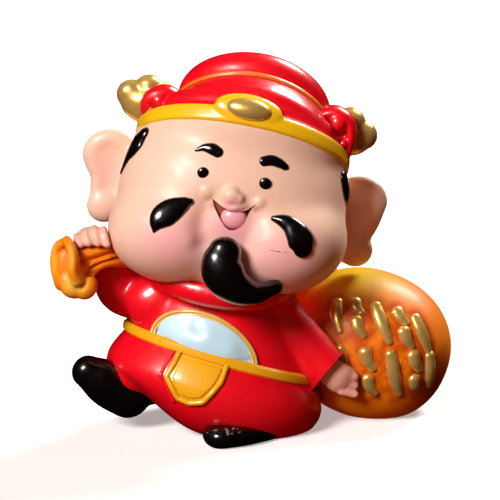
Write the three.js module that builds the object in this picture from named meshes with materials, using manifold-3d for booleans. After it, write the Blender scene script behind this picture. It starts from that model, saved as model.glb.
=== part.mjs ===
// A palm-sized deity figurine: a laughing god of wealth who strides along with a big sack slung over the right
// shoulder. It is one resin casting painted by hand, so it is one solid. Its left side is at +X, it faces -Y
// and stands on the plane z = 0. Millimetres. The shapes are laid out in the figure's own frame, whose origin
// is on the floor under the robe, and the finished mesh is placed so that the part's origin is under the
// middle of its bounding box.

import * as THREE from 'three';
import { mergeVertices } from 'three/addons/utils/BufferGeometryUtils.js';
import Module from 'manifold-3d';

const wasm = await Module();
wasm.setup();

const { clamp, degToRad, lerp, smoothstep } = THREE.MathUtils;

// The robe, an egg that leans to the figure's left. Heights in it are counted from its widest ring.
const ROBE_RADIUS = 20;
const ROBE_DEPTH_RATIO = 0.8;
const ROBE_CENTRE = [-0.4, 0, 7];
const ROBE_LEAN = 16.5;
const ROBE_PITCH = 8;
const ROBE_BEND = -0.011;
const HEM_LIFT = 0.45;
const BELT_HEIGHT = 6.6;
const BELT_RADIUS = 17.6;
const BELT_WIDTH = 2;
const TRIM_PROUD = 0.7;
const COLLAR_CENTRE = [1.4, -0.2, 27];
const COLLAR_RADIUS = 13.6;

// The head.
const HEAD_CENTRE = [3.1, 1, 42];
const HEAD_HALF = [20.6, 17.2, 15.6];
const HEAD_SQUARENESS = 2.4;
const HEAD_LEAN = 11;
const HEAD_PITCH = 10;
const CHEEK_HALF = [10.6, 12, 9.9];
const RIGHT_CHEEK = [-8.5, -5.4, 37.3];
const LEFT_CHEEK = [13.8, -5.4, 36.7];
const CHIN = [3.2, -8.6, 35.5];
const NOSE = [2.9, 46.2];
const NOSE_RADIUS = 1.9;
const MOUTH_DEPTH = 1.2;
const EAR_THICKNESS = 4;
const EAR_RIM = 1.3;
const EAR_Y = 6.4;

// The hat, turned shapes squeezed front to back and tilted a little more than the head. Its upper tier tips
// back further still.
const HAT_RADIUS = 19.4;
const HAT_DEPTH_RATIO = 0.87;
const HAT_CENTRE = [4.9, 2, 50.3];
const HAT_LEAN = 11.5;
const HAT_PITCH = 28;
const BAND_FOOT = -1;
const BAND_HEIGHT = 2.2;
const CROWN_CENTRE = [7, 5.4, 57.6];
const CROWN_PITCH = 37;
const CROWN_RADIUS = 13.9;
const CROWN_DROOP = 0.009;
const LOWER_TIER_DROOP = 0.0015;

// The sack and the brush strokes on its front.
const SACK_CENTRE = [28.3, 10, 12.6];
const SACK_HALF = [15.4, 13.5, 13.8];
const SACK_SQUARENESS = 2.15;
const SACK_LEAN = 20;
const STROKE_WIDTH = 2.4;
const STROKE_HEIGHT = 1;

// Facets round the large turned shapes.
const AROUND = 24;

// Turns a closed three.js geometry into a solid for the joins and cuts.
function solid(geometry) {
  const bare = new THREE.BufferGeometry();
  bare.setAttribute('position', geometry.getAttribute('position').clone());
  if (geometry.index) bare.setIndex(geometry.index.clone());
  const merged = mergeVertices(bare, 1e-4);
  const corners = merged.index.array;
  const triangles = [];
  for (let i = 0; i < corners.length; i += 3) {
    const [a, b, c] = corners.slice(i, i + 3);
    if (a !== b && b !== c && c !== a) triangles.push(a, b, c);
  }
  const mesh = { numProp: 3, vertProperties: new Float32Array(merged.getAttribute('position').array) };
  const body = new wasm.Manifold(new wasm.Mesh({ ...mesh, triVerts: new Uint32Array(triangles) }));
  if (body.volume() > 0) return body;
  return new wasm.Manifold(new wasm.Mesh({ ...mesh, triVerts: new Uint32Array(triangles.reverse()) }));
}

function asGeometry(manifold) {
  const mesh = manifold.getMesh();
  const geometry = new THREE.BufferGeometry();
  geometry.setAttribute('position', new THREE.BufferAttribute(new Float32Array(mesh.vertProperties), 3));
  geometry.setIndex(new THREE.BufferAttribute(new Uint32Array(mesh.triVerts), 1));
  return geometry;
}

const join = (solids) => solids.reduce((whole, piece) => whole.add(piece));

// The placement of a shape: pitched back about X, then leaned to the figure's left about Y, then moved.
function placement(centre, lean = 0, pitch = 0) {
  return new THREE.Matrix4()
    .makeTranslation(...centre)
    .multiply(new THREE.Matrix4().makeRotationY(degToRad(lean)))
    .multiply(new THREE.Matrix4().makeRotationX(-degToRad(pitch)));
}

// An ellipsoid that gets squarer as its exponent grows past 2.
function ball(half, { exponent = 2, across = 8, up = 5 } = {}) {
  const geometry = new THREE.SphereGeometry(1, across, up).rotateX(Math.PI / 2);
  const place = geometry.getAttribute('position');
  const point = new THREE.Vector3();
  for (let i = 0; i < place.count; i += 1) {
    point.fromBufferAttribute(place, i);
    const reach = point.toArray().reduce((sum, v) => sum + Math.abs(v) ** exponent, 0) ** (-1 / exponent);
    place.setXYZ(i, point.x * reach * half[0], point.y * reach * half[1], point.z * reach * half[2]);
  }
  return geometry;
}

// A value from an even list of sizes at the fraction t along it.
function along(sizes, t) {
  const spot = clamp(t, 0, 1) * (sizes.length - 1);
  const low = Math.min(Math.floor(spot), sizes.length - 2);
  return lerp(sizes[low], sizes[low + 1], smoothstep(spot - low, 0, 1));
}

// A rounded body that follows a smooth path. wide and thick are lists of half sizes along it, thick is measured
// towards facing, and flutes are lengthwise folds round it.
function limb(path, { wide, thick = wide, facing = [0, -1, 0], sides = 8, rings = 8, flutes = 0, fold = 0 }) {
  const curve = new THREE.CatmullRomCurve3(path.map((p) => new THREE.Vector3(...p)));
  const length = curve.getLength();
  const capShare = 0.9;
  const startCap = Math.max(wide[0], thick[0]) * capShare;
  const endCap = Math.max(wide.at(-1), thick.at(-1)) * capShare;
  const geometry = new THREE.SphereGeometry(1, sides, rings);
  const place = geometry.getAttribute('position');
  const front = new THREE.Vector3(...facing).normalize();
  for (let i = 0; i < place.count; i += 1) {
    const unit = new THREE.Vector3().fromBufferAttribute(place, i);
    const reach = ((unit.y + 1) / 2) * (length + startCap + endCap) - startCap;
    const t = clamp(reach / length, 0, 1);
    const past = reach < 0 ? reach / startCap : Math.max(0, (reach - length) / endCap);
    const tangent = curve.getTangentAt(t);
    const side = new THREE.Vector3().crossVectors(tangent, front).normalize();
    const out = new THREE.Vector3().crossVectors(side, tangent).normalize();
    const angle = Math.atan2(unit.z, unit.x);
    const atPole = Math.hypot(unit.x, unit.z) < 1e-6;
    const size = atPole ? 0 : Math.sqrt(Math.max(0, 1 - past * past)) * (1 + fold * Math.cos(flutes * angle));
    const point = curve.getPointAt(t).addScaledVector(tangent, past * (past < 0 ? startCap : endCap));
    point.addScaledVector(side, Math.cos(angle) * along(wide, t) * size);
    point.addScaledVector(out, Math.sin(angle) * along(thick, t) * size);
    place.setXYZ(i, point.x, point.y, point.z);
  }
  return geometry;
}

// A shape turned about Z from a profile of [radius, height] points that starts and ends on the axis.
function turned(profile, depthRatio) {
  const points = profile.map((p) => new THREE.Vector2(...p));
  return new THREE.LatheGeometry(points, AROUND).rotateX(Math.PI / 2).scale(1, depthRatio, 1);
}

// A plate cut to an outline in the XZ plane, which reaches forward from y = 0.
function plate(outline, depth = 30) {
  const shape = new THREE.Shape(outline.map((p) => new THREE.Vector2(...p)));
  return new THREE.ExtrudeGeometry(shape, { depth, bevelEnabled: false }).rotateX(Math.PI / 2);
}

// Makes a function that finds the frontmost point of a solid above a place given by x and z.
function frontOf(manifold) {
  const material = new THREE.MeshBasicMaterial({ side: THREE.DoubleSide });
  const target = new THREE.Mesh(asGeometry(manifold), material);
  const wellInFront = -80;
  const caster = new THREE.Raycaster();
  return (x, z) => {
    caster.set(new THREE.Vector3(x, wellInFront, z), new THREE.Vector3(0, 1, 0));
    const [hit] = caster.intersectObject(target);
    return [x, hit.point.y, z];
  };
}

// Puts a shape made in the upright robe's frame onto the real robe: above the widest ring the axis bends back
// upright, the raised leg lifts the hem on the figure's right, and then the whole robe leans.
function onRobe(geometry) {
  const place = geometry.getAttribute('position');
  for (let i = 0; i < place.count; i += 1) {
    const x = place.getX(i);
    const height = place.getZ(i);
    const lifted = lerp(HEM_LIFT, 1, smoothstep(x, -0.8 * ROBE_RADIUS, 0.15 * ROBE_RADIUS));
    if (height > 0) place.setX(i, x + ROBE_BEND * height * height);
    else place.setZ(i, height * lifted);
  }
  return geometry.applyMatrix4(placement(ROBE_CENTRE, ROBE_LEAN, ROBE_PITCH));
}

// The robe from under the hem up to the shoulders, swelled by a thickness that every raised trim is cut from.
function robe(swell = 0) {
  const profile = [
    [0, -8.6], [8, -8.2], [14, -6.6], [18.4, -3.4], [ROBE_RADIUS, 0.4], [19.4, 3.6], [BELT_RADIUS, BELT_HEIGHT],
    [16.6, 10], [15.6, 13.5], [14.2, 17], [11, 20], [0, 21.5],
  ];
  const swelled = profile.map(([radius, height]) => [radius > 0 ? radius + swell : 0, height]);
  return solid(onRobe(turned(swelled, ROBE_DEPTH_RATIO)));
}

// The hip that the raised leg pushes out on the figure's right.
function hip() {
  return solid(ball([5.8, 8, 5], { across: 10, up: 6 }).translate(-13.9, 0, 10.6));
}

function robeTrim(outline, swell) {
  return solid(onRobe(plate(outline))).intersect(robe(swell));
}

function belt() {
  const half = BELT_WIDTH / 2;
  const round = 0.6;
  const outer = BELT_RADIUS + TRIM_PROUD;
  const flat = outer - round;
  const lower = [[0, -half], [flat, -half], [outer, round - half]];
  const profile = [...lower, ...lower.toReversed().map(([radius, height]) => [radius, -height])];
  const raised = profile.map(([radius, height]) => [radius, BELT_HEIGHT + height]);
  return solid(onRobe(turned(raised, ROBE_DEPTH_RATIO)));
}

// The bare belly, half an ellipse that bulges out above the belt, with a rim round it. Its outline is drawn in
// by a margin, and its foot goes down behind the belt by a drop.
function belly() {
  const centre = [-3.6, BELT_HEIGHT + BELT_WIDTH / 2 - 0.4];
  const half = [9.8, 6.6];
  const rimWidth = 0.9;
  const outline = (margin, drop) => {
    const reach = half.map((size) => size - margin);
    const steps = 10;
    const arc = Array.from({ length: steps + 1 }, (_, i) => {
      const angle = (Math.PI * i) / steps;
      return [centre[0] + reach[0] * Math.cos(angle), centre[1] + reach[1] * Math.sin(angle)];
    });
    const foot = centre[1] - drop;
    return [...arc, [centre[0] - reach[0], foot], [centre[0] + reach[0], foot]];
  };
  const rim = robeTrim(outline(0, 0.3), TRIM_PROUD + 0.3).subtract(solid(onRobe(plate(outline(rimWidth, 2)))));
  const bulge = ball([10, 3.4, 7.4], { across: 12, up: 6 });
  bulge.translate(centre[0], 4.6 - ROBE_RADIUS * ROBE_DEPTH_RATIO, centre[1] + 2.6);
  const skin = solid(onRobe(plate(outline(rimWidth / 2, 0.15)))).intersect(solid(onRobe(bulge)));
  return [rim, skin];
}

// The pouch flap, a pentagon that hangs from the belt, with a rim round a flat panel.
function flap() {
  const top = BELT_HEIGHT - BELT_WIDTH / 2 + 0.5;
  const corners = [[-8.2, 0.2], [-9.9, -4.9], [-6.3, -9], [-4, -9.1], [-1.5, -8], [0.9, -3], [1.4, 0.2]];
  const middle = [-4.2, -4];
  const rimWidth = 1.1;
  const outline = (margin) => corners.map(([x, z]) => {
    const arm = Math.hypot(x - middle[0], z - middle[1]);
    const keep = (arm - margin) / arm;
    return [middle[0] + (x - middle[0]) * keep, top + middle[1] + (z - middle[1]) * keep];
  });
  const rim = robeTrim(outline(0), TRIM_PROUD + 0.3).subtract(solid(onRobe(plate(outline(rimWidth)))));
  return [rim, robeTrim(outline(rimWidth * 0.8), TRIM_PROUD / 2)];
}

// The collar, a soft roll round the shoulders that sags at the front.
function collar() {
  const edge = COLLAR_RADIUS - 1;
  const profile = [[0, -1.9], [edge, -1.8], [COLLAR_RADIUS, -0.9], [COLLAR_RADIUS, 0.5], [edge, 1.7], [0, 2]];
  return solid(turned(profile, 0.93).applyMatrix4(placement(COLLAR_CENTRE, 8, -8)));
}

// The head: a rounded box with two ball cheeks and a chin. The eyes and brows are only painted on.
function bareHead() {
  const skull = ball(HEAD_HALF, { exponent: HEAD_SQUARENESS, across: 22, up: 10 });
  const cheek = () => ball(CHEEK_HALF, { across: 14, up: 8 });
  return join([
    solid(skull.applyMatrix4(placement(HEAD_CENTRE, HEAD_LEAN, HEAD_PITCH))),
    solid(cheek().translate(...RIGHT_CHEEK)),
    solid(cheek().translate(...LEFT_CHEEK)),
    solid(ball([7.5, 8, 7.5]).translate(...CHIN)),
  ]);
}

// The face: a button nose, and an open mouth whose upper lip dips in the middle, with the tongue in it.
function face(head, onHead) {
  const nose = ball([NOSE_RADIUS, NOSE_RADIUS, NOSE_RADIUS]).translate(...onHead(...NOSE));
  const upperLip = [[-0.9, 44.3], [3.1, 43.4], [6.9, 44.1]];
  const lowerLip = [[6.2, 42.6], [4.8, 40.6], [3, 40.1], [1.4, 41.3], [0.4, 43]];
  const tongueMiddle = [3.1, 41.6];
  const [, front] = onHead(...tongueMiddle);
  const back = front + MOUTH_DEPTH;
  const pocket = plate([...upperLip, ...lowerLip], 10).translate(0, back, 0);
  const tongue = ball([2.3, 1, 1.7]).translate(tongueMiddle[0], back, tongueMiddle[1]);
  return head.add(solid(nose)).subtract(solid(pocket)).add(solid(tongue));
}

// The moustaches and the beard, fat glossy commas.
function moustachesAndBeard(onHead) {
  const moustache = (path, wide) =>
    solid(limb(path.map((spot) => onHead(...spot)), { wide, thick: [0.7, 1, 1, 0.6], sides: 6, rings: 7 }));
  const beardPath = [
    [1.9, -16.6, 37], [0.9, -17.8, 33.2], [3, -18, 30.2], [6.8, -17, 29.2], [10.8, -15.6, 29.4],
  ];
  const beardSizes = { wide: [2.4, 4.2, 3.8, 2.2, 0.8], thick: [2, 3.2, 3.2, 2.2, 0.8] };
  return [
    moustache([[-4.6, 44.8], [-7.2, 43.4], [-9.4, 41.2], [-10.7, 38.4]], [1.1, 2.2, 2.5, 0.5]),
    moustache([[10.8, 41.5], [13.4, 40.2], [15.6, 37.4], [15.6, 34.2]], [1.1, 1.9, 2.1, 0.9]),
    solid(limb(beardPath, { ...beardSizes, sides: 9, rings: 9 })),
  ];
}

// The long-lobed ears: rounded slabs with a hollow in the front and a full lobe.
function ears() {
  const ear = (spots, wide, lobe) => {
    const path = spots.map(([x, z]) => [x, EAR_Y, z]);
    const slab = limb(path, { wide, thick: wide.map(() => EAR_THICKNESS / 2), rings: 7 });
    const hollowPath = path.slice(0, -1).map(([x, y, z]) => [x, y - 0.6 * EAR_THICKNESS, z]);
    const hollowWide = wide.slice(0, -1).map((size) => size - EAR_RIM);
    const hollow = limb(hollowPath, { wide: hollowWide, thick: hollowWide.map(() => 1.3), rings: 5 });
    const fullLobe = ball([3.2, EAR_THICKNESS / 2, 3.2]);
    return solid(slab).subtract(solid(hollow)).add(solid(fullLobe.translate(lobe[0], EAR_Y - 0.6, lobe[1])));
  };
  const wide = [5.2, 4.5, 3.5, 3.4];
  return [
    ear([[-19, 49], [-18.6, 45.4], [-19.4, 42], [-19.6, 39.8]], wide, [-20.3, 39.6]),
    ear([[26.4, 40.6], [25.8, 37], [24.8, 33.6], [24.6, 31.6]], wide, [25.6, 31.4]),
  ];
}

// Lowers a hat tier towards its left and right ends.
function drooped(geometry, amount) {
  const place = geometry.getAttribute('position');
  for (let i = 0; i < place.count; i += 1) place.setZ(i, place.getZ(i) - amount * place.getX(i) ** 2);
  return geometry;
}

// The hat: a yellow band, a puffed lower tier, a thin cord of trim and a domed upper tier. On the front of the
// band an oval gem sits on a badge.
function hat() {
  const inner = HAT_RADIUS - 1.1;
  const band = turned([
    [0, BAND_FOOT], [HAT_RADIUS - 0.4, BAND_FOOT], [HAT_RADIUS, BAND_FOOT + 0.6],
    [HAT_RADIUS, BAND_HEIGHT - 0.6], [inner, BAND_HEIGHT], [0, BAND_HEIGHT],
  ], HAT_DEPTH_RATIO);
  const lowerTier = turned([
    [0, 1], [17.4, 1.4], [18.1, 3.4], [17.3, 5.5], [15.4, 6.7], [12, 7.3], [0, 8],
  ], HAT_DEPTH_RATIO);
  const front = -HAT_RADIUS * HAT_DEPTH_RATIO;
  const badge = ball([6, 1.4, 2.8], { across: 10 }).translate(-0.7, front + 0.8, BAND_HEIGHT - 0.1);
  const gem = ball([3.9, 1.5, 1.95], { across: 10, up: 5 }).translate(-0.7, front - 0.2, BAND_HEIGHT - 0.4);
  const trim = drooped(turned([
    [0, -0.5], [CROWN_RADIUS, -0.5], [CROWN_RADIUS + 0.3, -0.1], [CROWN_RADIUS, 0.3], [0, 0.3],
  ], HAT_DEPTH_RATIO), CROWN_DROOP);
  const upperTier = drooped(turned([
    [0, -4], [CROWN_RADIUS - 0.6, -4], [CROWN_RADIUS - 0.4, 0.3], [CROWN_RADIUS, 2], [13.4, 3.9], [11.9, 5.3],
    [8, 5.8], [0, 5.7],
  ], HAT_DEPTH_RATIO), CROWN_DROOP);
  const onHat = placement(HAT_CENTRE, HAT_LEAN, HAT_PITCH);
  const onCrown = placement(CROWN_CENTRE, HAT_LEAN, CROWN_PITCH);
  return [
    ...[band, drooped(lowerTier, LOWER_TIER_DROOP), badge, gem].map((form) => solid(form.applyMatrix4(onHat))),
    ...[trim, upperTier].map((form) => solid(form.applyMatrix4(onCrown))),
  ];
}

// At each side of the hat a gold ingot shaped like a boat, with a round heap between its raised ends, and in
// front of it a cloud scroll, a roll that curls round a knob.
function hatOrnaments() {
  const ingot = (centre, lean, side) => {
    const hull = limb([[-3.6 * side, 0, 0.3], [-2 * side, 0, -0.8], [0, 0, -1.6], [2.2 * side, 0, -1.3]],
      { wide: [2.5, 3.2, 3.8, 3.2], thick: [2.3, 3, 3.6, 3], rings: 8 });
    const heap = ball([2.4, 2.4, 1.9], { across: 7, up: 4 }).translate(0, 0, 1.3);
    return [hull, heap].map((form) => solid(form.applyMatrix4(placement(centre, lean))));
  };
  const cloud = (roll, knob, filler) => {
    const curl = limb(roll.map(([x, z]) => [x, -0.6, z]),
      { wide: [1.3, 1.4, 1.3, 1.1, 0.8], thick: [2, 2.2, 2.1, 1.9, 1.4], sides: 6, rings: 7 });
    const core = ball([1.7, 1.7, 1.7], { across: 7, up: 4 }).translate(knob[0], -1.9, knob[1]);
    const back = ball([3, 2.6, 3.4], { across: 7, up: 4 }).translate(...filler);
    return [curl, core, back].map(solid);
  };
  const rightRoll = [[-7, 60.6], [-8.4, 61.2], [-10.3, 61.1], [-12, 59.4], [-11.8, 57]];
  const leftRoll = [[19.2, 57.2], [21.2, 57.6], [23.4, 56.4], [24.1, 53.6], [23.4, 49.8]];
  return [
    ...ingot([-11.7, 3.4, 60.7], -4, 1),
    ...ingot([24, 3.4, 54.9], 36, -1),
    ...cloud(rightRoll, [-9.7, 59.8], [-9.4, 0.6, 58.4]),
    ...cloud(leftRoll, [21.8, 55.9], [21.4, 0.6, 54]),
  ];
}

// The full sack, on the floor behind the figure's left side.
function fullSack() {
  const bag = ball(SACK_HALF, { exponent: SACK_SQUARENESS, across: 22, up: 10 });
  return solid(bag.applyMatrix4(placement(SACK_CENTRE, SACK_LEAN)));
}

// The sack's neck runs up the back and over the right shoulder to a mouth that flares in front, where a rolled
// lip goes round a hollow throat.
function sackNeck() {
  const run = [
    [-21, -7, 33], [-16.6, -4.6, 32.6], [-11.6, 3, 31.4], [-3, 12, 28.4], [8, 16, 24], [18, 14.5, 20.5],
    [23, 12, 17],
  ];
  const neckWide = [2.6, 2.8, 3.4, 4.4, 5, 6.2, 8];
  const neck = limb(run, { wide: neckWide, facing: [0, 0, 1], sides: 12, rings: 10, flutes: 4, fold: 0.07 });
  const funnel = limb([[-15.6, -5, 33], [-19.6, -6.8, 33.2], [-22.4, -8, 32.4], [-24, -8.6, 31.4]],
    { wide: [2.2, 2.1, 3, 4], thick: [2.2, 2.2, 1.8, 1.2], rings: 6 });
  const throat = ball([2.4, 1.2, 3.4]).translate(-26, -6.2, 32.2);
  const farLip = limb([[-25.8, -8.8, 36.1], [-27.4, -8.1, 34.6], [-27.7, -7.8, 31.8], [-26.5, -8.2, 28.6]],
    { wide: [0.8, 1, 1.1, 1.7], thick: [0.9, 1.2, 1.3, 1.7], sides: 6, rings: 6 });
  const nearLip = limb([[-25.7, -9.8, 36.2], [-24.7, -11.3, 34.2], [-24.5, -11.4, 31.7], [-24, -10.8, 29.6]],
    { wide: [0.85, 0.95, 1.05, 1.4], thick: [1.2, 1.7, 1.8, 1.6], sides: 6, rings: 6 });
  const lowerLip = limb([[-26, -9, 29], [-24.8, -9.2, 28.1], [-23.2, -8.8, 27.6]],
    { wide: [2, 2.4, 1.9], thick: [1.8, 2.1, 1.8], rings: 7 });
  return [neck, funnel, throat, farLip, nearLip, lowerLip].map(solid);
}

// Two rows of raised strokes on the sack's front: long dabs of a full brush, and short ones in pairs, that take
// turns and spell nothing. A dab is a list of shares of the row's height, each with a shift to the side.
function sackStrokes(onSack) {
  const rows = [
    { start: [22.4, 25], fall: -0.9, length: 7.6 },
    { start: [23.6, 14.6], fall: -0.4, length: 7.6 },
  ];
  const perRow = 5;
  const step = 3.8;
  const longDab = [[-0.6, 0], [-0.2, 0.5], [1, 1]];
  const shortDabs = [[[-0.5, 0.02], [0.4, 0.32]], [[-0.1, 0.62], [0.9, 0.96]]];
  const tail = [1, 0.85, 0.6];
  return rows.flatMap(({ start, fall, length }) => Array.from({ length: perRow }, (_, i) => {
    const x = start[0] + i * step;
    const top = start[1] + i * fall;
    return (i % 2 ? shortDabs : [longDab]).map((dab) => {
      const path = dab.map(([shift, share]) => onSack(x + shift, top - share * length));
      const sizes = tail.slice(-path.length);
      const wide = sizes.map((size) => size * STROKE_WIDTH / 2);
      const thick = sizes.map((size) => size * STROKE_HEIGHT);
      return solid(limb(path, { wide, thick, sides: 5, rings: 3 }));
    });
  })).flat();
}

// The raised right arm: a fat sleeve, the forearm behind the cloth, and a fist that holds the sack's neck.
function rightArm() {
  const sleeve = limb([[-8, 0, 24.5], [-13.4, 0, 24.6], [-16.8, 0, 25.6], [-18.2, -0.6, 29.4]],
    { wide: [5.4, 5.1, 5, 3.8], sides: 9 });
  const shoulder = ball([5, 4.6, 5], { across: 9, up: 6 }).translate(-11.2, -3.4, 23.8);
  const wrist = limb([[-18.4, -1.5, 30], [-19.8, -3, 33.5]], { wide: [2.6, 2.6], sides: 6, rings: 4 });
  const palm = ball([3.4, 2.8, 2.4]).translate(-21.6, -4.8, 35.4);
  const knuckles = [[-24.4, 36.3], [-23, 37.3], [-21.4, 37.7], [-19.8, 37.4]];
  const fingers = knuckles.map(([x, z]) =>
    limb([[x, -5.6, z], [x + 0.3, -8.4, z - 0.2], [x + 0.9, -9.4, z - 1.9]],
      { wide: [0.8, 0.84, 0.76], facing: [0, 0.4, 1], sides: 5, rings: 4 }));
  return [sleeve, shoulder, wrist, palm, ...fingers].map(solid);
}

// The left arm: a sleeve that hangs and widens to a cuff cut off flat, and a mitten of a hand that steadies the
// sack.
function leftArm() {
  const sleeve = limb([[9, -2, 24], [13.6, -3.4, 19.6], [17.4, -4, 15], [20.6, -4.4, 11.2], [21.8, -4.6, 9.8]],
    { wide: [4.4, 3.8, 3.9, 4.2, 4.2], thick: [4.2, 3.8, 3.8, 3.9, 3.9], sides: 10 });
  const room = 12;
  const belowCuff = new THREE.BoxGeometry(room, room, room).translate(0, 0, -room / 2);
  const cuffPlace = placement([20.7, -4.2, 11.4], -51, 14);
  const openSleeve = solid(sleeve).subtract(solid(belowCuff.applyMatrix4(cuffPlace)));
  const hand = limb([[19.2, -4.3, 12.6], [22.2, -4.2, 10], [23.4, -3.6, 9.2]],
    { wide: [2.5, 2.8, 2.8], thick: [2, 2, 1.8], rings: 6 });
  const fingerStep = 1.6;
  const fingers = [0, 1, 2].map((i) => {
    const drop = i * fingerStep;
    return limb([[22.8, -4.6, 10.8 - drop], [25.2, -4.2, 10 - drop]], { wide: [0.9, 0.8], sides: 5, rings: 3 });
  });
  return [openSleeve, ...[hand, ...fingers].map(solid)];
}

// The boots: the left one stands under the hem, the right one swings up with its heel just off the floor.
function boots() {
  const standing = limb([[9.5, -9, 1.4], [5, -12.2, 1.8], [1, -13.8, 1.9]],
    { wide: [2.4, 3.2, 3.4], thick: [1.7, 2.1, 2.3], facing: [0, 0, 1], sides: 9, rings: 7 });
  const swinging = limb([[-15.5, -3.6, 6.5], [-18.2, -4.2, 8.1], [-20.4, -4.8, 9.7], [-23, -5.2, 11.4]],
    { wide: [4.4, 4.4, 4.1, 3], thick: [3.7, 3.6, 3.4, 2.8], sides: 9, rings: 7 });
  const leg = limb([[-9, -1.5, 8.5], [-14.5, -3, 8.2]], { wide: [4, 3.9], rings: 4 });
  return [standing, swinging, leg].map(solid);
}

// The whole casting, joined and cut flat where it stands. The largest shell is its outer skin, without the
// specks of space that stay enclosed where several shapes meet.
function casting() {
  const head = bareHead();
  const onHead = frontOf(head);
  const sack = fullSack();
  const whole = join([
    face(head, onHead), ...moustachesAndBeard(onHead), ...ears(), ...hat(), ...hatOrnaments(),
    robe(), hip(), belt(), collar(), ...belly(), ...flap(), ...rightArm(), ...leftArm(), ...boots(),
    sack, ...sackNeck(), ...sackStrokes(frontOf(sack)),
  ]);
  const reach = 200;
  const aboveFloor = solid(new THREE.BoxGeometry(reach, reach, reach).translate(0, 0, reach / 2));
  const shells = whole.intersect(aboveFloor).decompose();
  return shells.reduce((largest, shell) => (shell.volume() > largest.volume() ? shell : largest));
}

const geometry = asGeometry(casting());
geometry.computeVertexNormals();
geometry.computeBoundingBox();
const middle = geometry.boundingBox.getCenter(new THREE.Vector3());

const paintedResin = new THREE.MeshStandardMaterial({ color: '#d8182c', roughness: 0.3, metalness: 0 });
const figurine = new THREE.Mesh(geometry, paintedResin);
figurine.name = 'figurine';
figurine.position.set(-middle.x, -middle.y, 0);

const part = new THREE.Group();
part.add(figurine);

export default part;
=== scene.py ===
import math

import bmesh
import bpy
import numpy as np
from mathutils import Euler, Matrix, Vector


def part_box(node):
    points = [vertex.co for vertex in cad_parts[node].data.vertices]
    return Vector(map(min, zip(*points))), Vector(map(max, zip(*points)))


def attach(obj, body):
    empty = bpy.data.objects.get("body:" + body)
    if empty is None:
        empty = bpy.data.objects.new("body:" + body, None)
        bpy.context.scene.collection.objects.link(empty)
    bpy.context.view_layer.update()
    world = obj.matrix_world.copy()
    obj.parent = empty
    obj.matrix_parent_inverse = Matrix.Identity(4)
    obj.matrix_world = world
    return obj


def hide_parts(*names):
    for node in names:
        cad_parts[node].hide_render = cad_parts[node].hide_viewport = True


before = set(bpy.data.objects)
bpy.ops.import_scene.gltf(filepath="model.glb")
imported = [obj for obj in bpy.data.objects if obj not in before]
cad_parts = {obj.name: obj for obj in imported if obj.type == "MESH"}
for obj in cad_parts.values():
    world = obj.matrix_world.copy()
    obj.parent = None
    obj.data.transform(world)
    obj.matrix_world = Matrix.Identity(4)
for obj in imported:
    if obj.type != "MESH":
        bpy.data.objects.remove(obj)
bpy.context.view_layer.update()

# The figurine is one resin casting with paint on it. Every form below is shaped in millimetres in the
# figure's own frame, whose origin is on the floor under the robe, and the finished casting is then put into
# the row's frame.
MM = 0.001
LEFT_REACH = 28.81
FRONT_REACH = 21.15
cad_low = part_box("figurine")[0]
figure_origin = Vector((cad_low.x + LEFT_REACH * MM, cad_low.y + FRONT_REACH * MM, cad_low.z))


# The camera: a long lens a little above the figure, straight in front of it.
FRAME_WIDTH = 90
LENS_DISTANCE = 400
LOOKING_DOWN = math.radians(12)
AIM = (6.3, 0, 32.53)
aim = figure_origin + Vector(AIM) * MM
camera_data = bpy.data.cameras.new("camera")
camera_data.sensor_width = 36
camera_data.lens = camera_data.sensor_width * LENS_DISTANCE / FRAME_WIDTH
camera = bpy.data.objects.new("camera", camera_data)
back_off = Vector((0, -math.cos(LOOKING_DOWN), math.sin(LOOKING_DOWN)))
camera.location = aim + back_off * LENS_DISTANCE * MM
camera.rotation_euler = (math.pi / 2 - LOOKING_DOWN, 0, 0)
bpy.context.collection.objects.link(camera)
bpy.context.scene.camera = camera
bpy.context.scene.view_settings.view_transform = "Standard"


def linear(hex_colour, alpha=True):
    """The linear colour of an sRGB hex value."""
    shares = [int(hex_colour[i:i + 2], 16) / 255 for i in (1, 3, 5)]
    rgb = [s / 12.92 if s <= 0.04045 else ((s + 0.055) / 1.055) ** 2.4 for s in shares]
    return (*rgb, 1.0) if alpha else tuple(rgb)


def add_node(tree, kind, links=None, **settings):
    """Adds a shader node with its settings, and sets or links its inputs."""
    node = tree.nodes.new("ShaderNode" + kind)
    for key, value in settings.items():
        setattr(node, key, value)
    for key, value in (links or {}).items():
        if isinstance(value, bpy.types.NodeSocket):
            tree.links.new(value, node.inputs[key])
        else:
            node.inputs[key].default_value = value
    return node


# The studio: a matt white board to stand on, a broad softbox high on the left, another one behind on the
# right, and a dim room. The room and a faint light from below, which stands in for what the board throws
# back, are tinted orange to match the warm shadows. Only the two softboxes are seen in the varnish.
LAMPS = [
    ("key", (-0.50, -0.66, 0.55), 20, 3.6, 1, "#FFFCF8"),
    ("back", (0.50, 0.55, 0.67), 22, 3.6, 1, "#FFFBF4"),
    ("bounce", (-0.1, -0.9, -0.42), 60, 0.28, 0, "#FF8A58"),
]
for name, direction, degrees_across, strength, shine, colour in LAMPS:
    light = bpy.data.lights.new(name, "SUN")
    light.angle = math.radians(degrees_across)
    light.energy = strength
    light.color = linear(colour, alpha=False)
    lamp = bpy.data.objects.new(name, light)
    lamp.visible_glossy = bool(shine)
    lamp.rotation_euler = Vector(direction).to_track_quat("Z", "Y").to_euler()
    bpy.context.collection.objects.link(lamp)
world = bpy.data.worlds.new("room")
world.use_nodes = True
room = world.node_tree.nodes["Background"]
room.inputs["Color"].default_value = linear("#FF9D6F")
room.inputs["Strength"].default_value = 0.1
bpy.context.scene.world = world
world.cycles_visibility.glossy = False
bpy.ops.object.select_all(action="DESELECT")
BOARD_SIZE = 8
bpy.ops.mesh.primitive_plane_add(size=BOARD_SIZE, location=(0, 0, cad_low.z))
table = bpy.context.object
table.name = "table"
table.visible_glossy = False
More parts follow.
